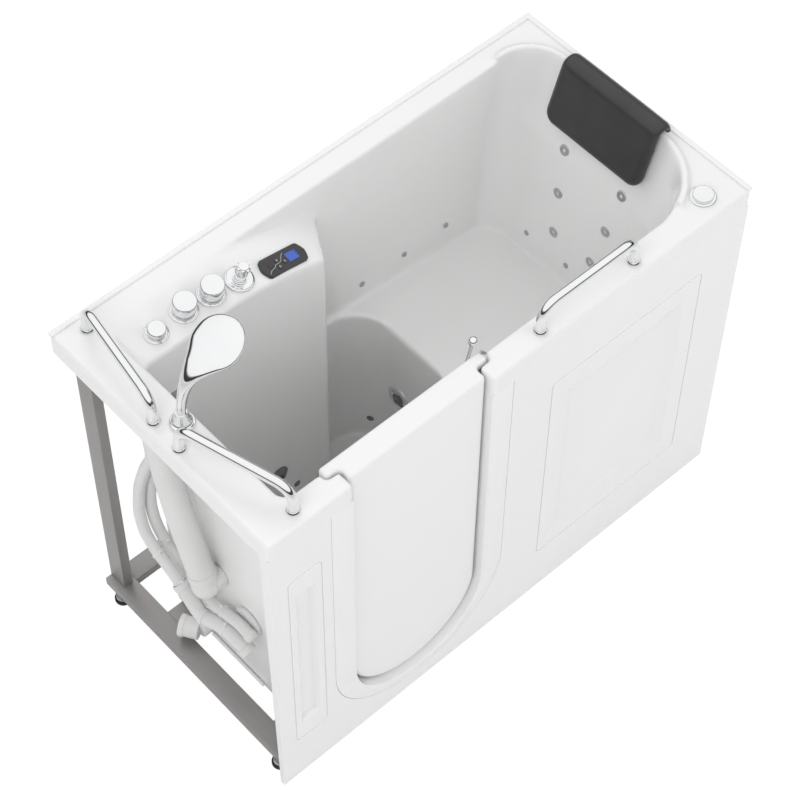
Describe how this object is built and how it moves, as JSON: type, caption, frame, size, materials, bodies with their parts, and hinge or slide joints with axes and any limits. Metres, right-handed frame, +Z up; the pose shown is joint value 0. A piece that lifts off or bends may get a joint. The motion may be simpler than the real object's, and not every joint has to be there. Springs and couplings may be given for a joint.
{
  "type": "walk-in bathtub with inward-opening door",
  "caption": "White walk-in bathtub with an inward-opening U-shaped door, seat, chrome grab bars, deck taps, hand shower, keypad, massage jets and a steel frame on levelling feet",
  "frame": {"origin": "middle of the footprint on the floor", "axes": "x to the head end, y to the back, z up"},
  "size_m": [1.295, 0.66, 1.1629],
  "materials": {
    "white_acrylic": "glossy moulded acrylic",
    "polished_steel": "satin stainless steel",
    "chrome": "mirror chrome plating",
    "frame_steel": "plain mill steel tube",
    "black_rubber": "matt rubber",
    "grey_rubber": "matt rubber seal",
    "black_foam": "soft self-skinned foam",
    "grey_plastic": "satin moulded plastic",
    "brass": "raw cast brass",
    "dark_plastic": "dark satin plastic",
    "screen": "lit display window",
    "key_plastic": "soft key tops",
    "white_pipe": "white plastic pipe",
    "white_hose": "flexible white hose",
    "black_plastic": "black moulded casing"
  },
  "bodies": {
    "tub": {"tub_shell": "white_acrylic", "front_skirt": "white_acrylic", "door_frame": "white_acrylic", "hinge_upper_fixed_leaf": "polished_steel", "hinge_upper_pin": "polished_steel", "hinge_lower_fixed_leaf": "polished_steel", "hinge_lower_pin": "polished_steel", "latch_keeper": "polished_steel", "headrest": "black_foam", "grab_bar_left_back": "chrome", "grab_bar_left_front": "chrome", "grab_bar_front": "chrome", "grab_bar_flanges": "chrome", "shower_holder": "chrome", "knob_covers": "chrome", "valve_body": "brass", "keypad_case": "dark_plastic", "keypad_screen": "screen", "drain_dial_base": "chrome", "drain_flange": "chrome", "filler_spout": "grey_plastic", "back_jets": "chrome", "air_jets": "grey_plastic", "well_jets": "grey_plastic", "foot_jet_ring": "chrome", "suction_cover": "grey_plastic", "rail_left": "frame_steel", "rail_back": "frame_steel", "inner_rails": "frame_steel", "post_back_left": "frame_steel", "hidden_posts": "frame_steel", "foot_stems": "polished_steel", "foot_pads": "black_rubber", "waste_pipe": "white_pipe", "hose_outer": "white_hose", "hose_inner": "white_hose", "air_manifold": "white_pipe", "pipe_fittings": "white_pipe", "pump": "black_plastic"},
    "door": {"door_outer": "white_acrylic", "door_inner": "white_acrylic", "door_seal": "grey_rubber", "hinge_upper_door_leaf": "polished_steel", "hinge_lower_door_leaf": "polished_steel", "latch_pivot": "polished_steel"},
    "latch": {"latch_lever": "chrome", "latch_hook": "polished_steel"},
    "hand_shower": {"hand_shower_body": "chrome", "hand_shower_face": "grey_plastic"},
    "air_knob_body": {"air_knob": "chrome"},
    "diverter_knob_body": {"diverter_knob": "chrome"},
    "drain_dial_body": {"drain_dial": "chrome"},
    "drain_stopper_body": {"drain_stopper": "chrome"},
    "flow_knob_body": {"flow_knob": "chrome"},
    "foot_jet_nozzle_body": {"foot_jet_nozzle": "grey_plastic"},
    "key_four_body": {"key_four": "key_plastic"},
    "key_one_body": {"key_one": "key_plastic"},
    "key_three_body": {"key_three": "key_plastic"},
    "key_two_body": {"key_two": "key_plastic"},
    "thermostat_knob_body": {"thermostat_knob": "chrome"}
  },
  "joints": [
    {"name": "door_hinge", "type": "hinge", "parent": "tub", "child": "door", "pos_m": [-0.4625, -0.2505, 0.56], "axis": [0, 0, 1], "range_deg": [0, 60]},
    {"name": "latch_turn", "type": "hinge", "parent": "door", "child": "latch", "pos_m": [-0.07751, -0.249, 0.9], "axis": [0, 1, 0], "range_deg": [0, 35]},
    {"name": "flow_turn", "type": "hinge", "parent": "tub", "child": "flow_knob_body", "pos_m": [-0.40948, 0.20497, 0.96704], "axis": [0, -0.2079, 0.9781], "range_deg": [0, 90]},
    {"name": "diverter_turn", "type": "hinge", "parent": "tub", "child": "diverter_knob_body", "pos_m": [-0.34245, 0.20094, 0.96616], "axis": [0.0075, -0.2079, 0.9781], "range_deg": [-90, 90]},
    {"name": "air_turn", "type": "hinge", "parent": "tub", "child": "air_knob_body", "pos_m": [-0.48446, 0.19789, 0.96553], "axis": [0, -0.2079, 0.9781], "range_deg": [0, 180]},
    {"name": "thermostat_turn", "type": "hinge", "parent": "tub", "child": "thermostat_knob_body", "pos_m": [-0.27436, 0.19479, 0.96078], "axis": [0.1092, -0.2067, 0.9723], "range_deg": [-100, 100]},
    {"name": "drain_dial_turn", "type": "hinge", "parent": "tub", "child": "drain_dial_body", "pos_m": [0.55594, -0.27911, 0.975], "axis": [0, 0, 1], "range_deg": [0, 90]},
    {"name": "drain_stopper_lift", "type": "slide", "parent": "tub", "child": "drain_stopper_body", "axis": [0, 0, 1], "range_m": [0, 0.01]},
    {"name": "hand_shower_lift", "type": "slide", "parent": "tub", "child": "hand_shower", "axis": [0, 0, 1], "range_m": [0, 0.06]},
    {"name": "key_one_press", "type": "slide", "parent": "tub", "child": "key_one_body", "axis": [-0.2695, 0.2002, -0.942], "range_m": [0, 0.0006], "stiffness_N_per_m": 400},
    {"name": "key_two_press", "type": "slide", "parent": "tub", "child": "key_two_body", "axis": [-0.2695, 0.2002, -0.942], "range_m": [0, 0.0006], "stiffness_N_per_m": 400},
    {"name": "key_three_press", "type": "slide", "parent": "tub", "child": "key_three_body", "axis": [-0.2695, 0.2002, -0.942], "range_m": [0, 0.0006], "stiffness_N_per_m": 400},
    {"name": "key_four_press", "type": "slide", "parent": "tub", "child": "key_four_body", "axis": [-0.2695, 0.2002, -0.942], "range_m": [0, 0.0006], "stiffness_N_per_m": 400},
    {"name": "foot_jet_swivel", "type": "hinge", "parent": "tub", "child": "foot_jet_nozzle_body", "pos_m": [0.0865, 0.11603, 0.28198], "axis": [0, 1, 0], "range_deg": [-15, 15]}
  ],
  "couplings": [
    {"joint": "drain_dial_turn", "follows": "drain_stopper_lift", "rad_per_m": 157.07}
  ]
}
